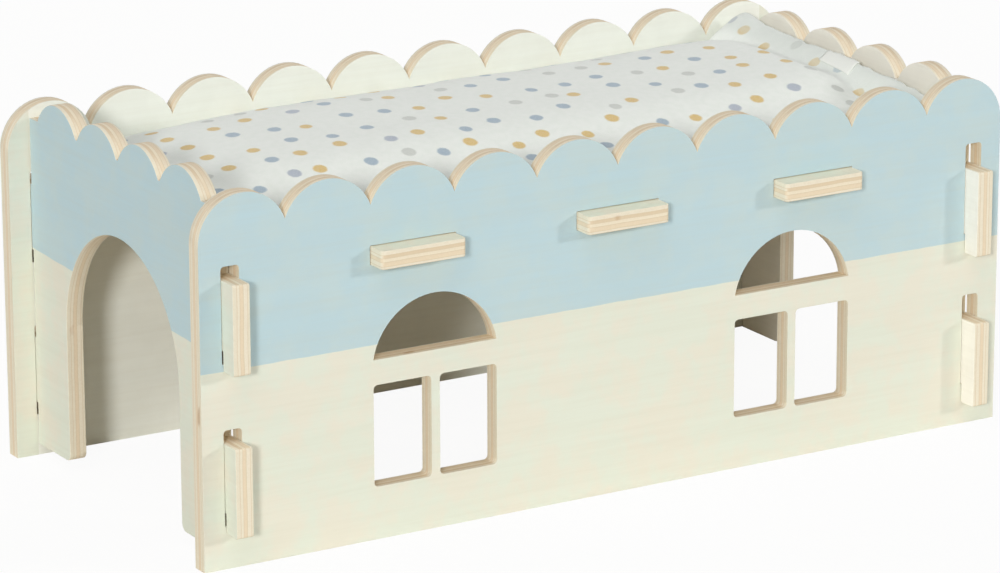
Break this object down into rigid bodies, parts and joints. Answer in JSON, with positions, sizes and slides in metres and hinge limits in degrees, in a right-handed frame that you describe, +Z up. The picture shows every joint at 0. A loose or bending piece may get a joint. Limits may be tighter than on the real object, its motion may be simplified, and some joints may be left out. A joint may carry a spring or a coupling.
{
  "type": "guinea pig house",
  "caption": "Slotted plywood shelter for small pets: scalloped walls, arched doors and windows, and a roof deck with a padded mat to lie on.",
  "frame": {"origin": "on the floor, under the middle of the house", "axes": "+X along the house to the right end, +Y from the front wall to the back wall, +Z up"},
  "size_m": [0.45, 0.2286, 0.1844],
  "materials": {
    "painted_plywood": "matt pale blue paint over cream paint, bare sawn edges",
    "plain_plywood": "matt cream wash, bare sawn edges",
    "dotted_fleece": "soft off-white fleece with small dots in ochre, blue grey and grey",
    "filling": "loose white polyester wadding",
    "label_tape": "blank woven tape"
  },
  "bodies": {
    "house": {"front_wall": "painted_plywood", "back_wall": "painted_plywood", "roof_deck": "plain_plywood"},
    "left_end": {"left_end_wall": "painted_plywood"},
    "right_end": {"right_end_wall": "painted_plywood"},
    "mat": {"mat_top_cover": "dotted_fleece", "mat_under_cover": "dotted_fleece", "mat_filling": "filling", "mat_label": "label_tape"}
  },
  "joints": [
    {"name": "left_end_lift", "type": "slide", "parent": "house", "child": "left_end", "axis": [0, 0, 1], "range_m": [-0.006, 0.0055]},
    {"name": "right_end_lift", "type": "slide", "parent": "house", "child": "right_end", "axis": [0, 0, 1], "range_m": [0, 0.0115]},
    {"name": "mat_lift", "type": "slide", "parent": "house", "child": "mat", "axis": [0, 0, 1], "range_m": [0, 0.08]}
  ]
}
